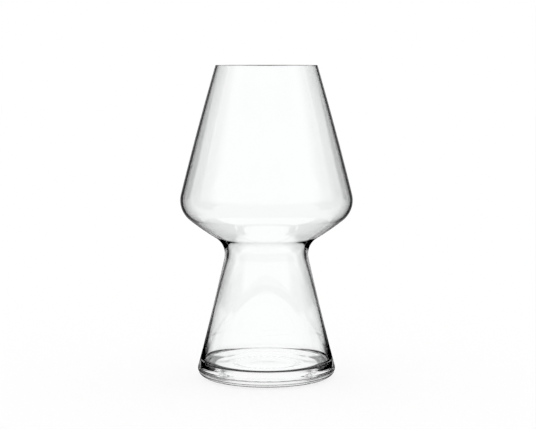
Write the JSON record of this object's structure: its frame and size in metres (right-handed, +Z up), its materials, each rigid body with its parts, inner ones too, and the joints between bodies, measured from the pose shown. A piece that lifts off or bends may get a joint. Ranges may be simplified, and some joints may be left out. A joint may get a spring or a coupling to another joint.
{
  "type": "tulip beer glass",
  "caption": "Clear tulip beer glass: a tapering bowl with a rounded belly, drawn in at a waist over a hollow conical foot with a thick base; the bowl and foot hold the drink.",
  "frame": {"origin": "on the glass's axis, in the plane that it stands on", "axes": "+Z up along the axis of the glass; X and Y lie in the standing plane, and the glass looks the same all round"},
  "size_m": [0.1024, 0.1024, 0.186],
  "materials": {
    "glass": "clear, fire-polished, colourless soda-lime glass"
  },
  "bodies": {
    "root": {"rim_lip": "glass", "bowl_wall": "glass", "bowl_underside": "glass", "waist_ring": "glass", "foot_wall": "glass", "base": "glass"}
  },
  "joints": []
}
